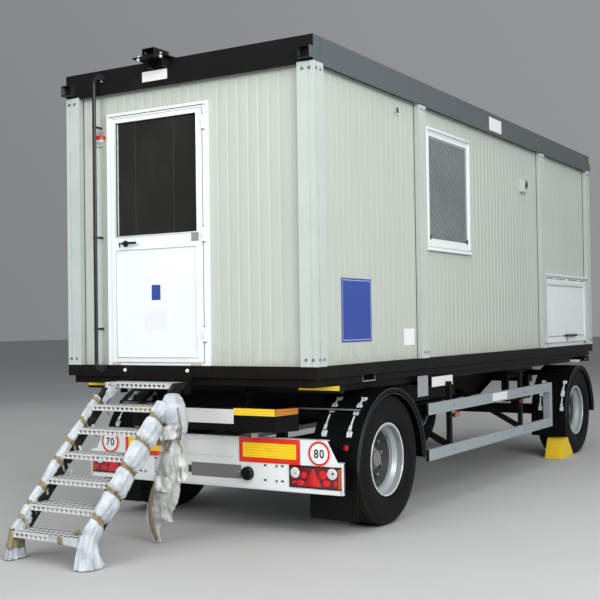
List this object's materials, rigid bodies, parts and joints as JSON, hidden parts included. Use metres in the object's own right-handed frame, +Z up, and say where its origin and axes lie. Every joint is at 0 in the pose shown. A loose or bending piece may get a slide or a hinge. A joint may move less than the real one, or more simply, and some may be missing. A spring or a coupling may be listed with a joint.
{
  "type": "portable site cabin on a drawbar trailer",
  "caption": "Portable site cabin with a glazed door, mesh window and side hatch, on its drawbar trailer with steered front dolly, with a grating stair at the door.",
  "frame": {"origin": "on the ground, under the middle of the cabin", "axes": "+X to the window side, +Y from the door end to the drawbar, +Z up"},
  "size_m": [2.54, 9.706, 3.848],
  "materials": {
    "fascia_dark": "dark satin paint",
    "post_grey": "pale blue-grey paint",
    "panel_grey": "pale beige-grey coated sheet",
    "base_dark": "dark satin paint",
    "floor_board": "coated boards",
    "ceiling_white": "white coated sheet",
    "roof_sheet": "galvanised sheet",
    "joinery_white": "white joinery profile",
    "door_glass": "dark tinted double glazing",
    "mesh_grey": "insect mesh over glass",
    "handle_black": "black furniture",
    "conduit_dark": "dark conduit",
    "beacon_red": "red collar and clear dome",
    "vent_grey": "pale plastic",
    "grating_zinc": "galvanised grating",
    "stair_black": "black paint",
    "film_white": "thin white wrapping film",
    "chassis_black": "black chassis paint",
    "bar_white": "grey-white paint",
    "board_yellow": "yellow board with red border",
    "lamp_red": "red and clear lenses",
    "guard_aluminium": "plain aluminium rail",
    "mudguard_black": "black moulded plastic",
    "tyre": "black rubber",
    "rim_silver": "silver disc wheel",
    "chock_yellow": "yellow plastic"
  },
  "bodies": {
    "cabin": {"base_frame": "base_dark", "floor_joists": "base_dark", "sub_frame": "base_dark", "floor_deck": "floor_board", "corner_posts": "post_grey", "side_posts": "post_grey", "rear_wall_left": "panel_grey", "rear_wall_right": "panel_grey", "rear_wall_head": "panel_grey", "right_wall_rear": "panel_grey", "right_wall_middle": "panel_grey", "right_wall_front": "panel_grey", "left_wall": "panel_grey", "front_wall": "panel_grey", "roof_frame": "fascia_dark", "roof_deck": "roof_sheet", "ceiling": "ceiling_white", "door_frame": "joinery_white", "window_frame": "joinery_white", "window_pane": "mesh_grey", "hatch_frame": "joinery_white", "conduit_pipe": "conduit_dark", "beacon": "beacon_red", "wall_vents": "vent_grey", "mast_bracket": "fascia_dark", "lifting_brackets": "fascia_dark", "stair_stringers": "stair_black", "stair_treads": "grating_zinc", "stair_hanger": "stair_black", "stair_wrap_left": "film_white", "stair_wrap_right": "film_white", "film_bundle": "film_white", "chassis_beams": "chassis_black", "swap_frame": "chassis_black", "rear_bar": "bar_white", "marker_boards": "board_yellow", "tail_lamps": "lamp_red", "side_guards": "guard_aluminium", "rear_axle": "chassis_black", "rear_mudguards": "mudguard_black", "air_tanks": "chassis_black", "turntable_ring": "chassis_black"},
    "door": {"door_leaf": "joinery_white", "door_glass": "door_glass", "door_handle": "handle_black"},
    "hatch": {"hatch_leaf": "joinery_white", "hatch_handle": "handle_black"},
    "dolly": {"dolly_frame": "chassis_black", "front_axle": "chassis_black", "front_mudguards": "mudguard_black", "drawbar": "chassis_black", "wheel_chock": "chock_yellow"},
    "wheel_rear_right": {"tyre_rear_right": "tyre", "rim_rear_right": "rim_silver"},
    "wheel_rear_left": {"tyre_rear_left": "tyre", "rim_rear_left": "rim_silver"},
    "wheel_front_right": {"tyre_front_right": "tyre", "rim_front_right": "rim_silver"},
    "wheel_front_left": {"tyre_front_left": "tyre", "rim_front_left": "rim_silver"}
  },
  "joints": [
    {"name": "door_hinge", "type": "hinge", "parent": "cabin", "child": "door", "pos_m": [0.19, -3.556, 2.35], "axis": [0, 0, 1], "range_deg": [0, 100]},
    {"name": "hatch_hinge", "type": "hinge", "parent": "cabin", "child": "hatch", "pos_m": [1.203, 2.58, 2.142], "axis": [0, -1, 0], "range_deg": [0, 90]},
    {"name": "dolly_turn", "type": "hinge", "parent": "cabin", "child": "dolly", "pos_m": [0, 2.8, 1.085], "axis": [0, 0, 1], "range_deg": [-30, 30]},
    {"name": "spin_rear_right", "type": "hinge", "parent": "cabin", "child": "wheel_rear_right", "pos_m": [1.057, -2.45, 0.53], "axis": [1, 0, 0], "continuous": true},
    {"name": "spin_rear_left", "type": "hinge", "parent": "cabin", "child": "wheel_rear_left", "pos_m": [-1.057, -2.45, 0.53], "axis": [1, 0, 0], "continuous": true},
    {"name": "spin_front_right", "type": "hinge", "parent": "dolly", "child": "wheel_front_right", "pos_m": [1.057, 2.8, 0.53], "axis": [1, 0, 0], "continuous": true},
    {"name": "spin_front_left", "type": "hinge", "parent": "dolly", "child": "wheel_front_left", "pos_m": [-1.057, 2.8, 0.53], "axis": [1, 0, 0], "continuous": true}
  ]
}
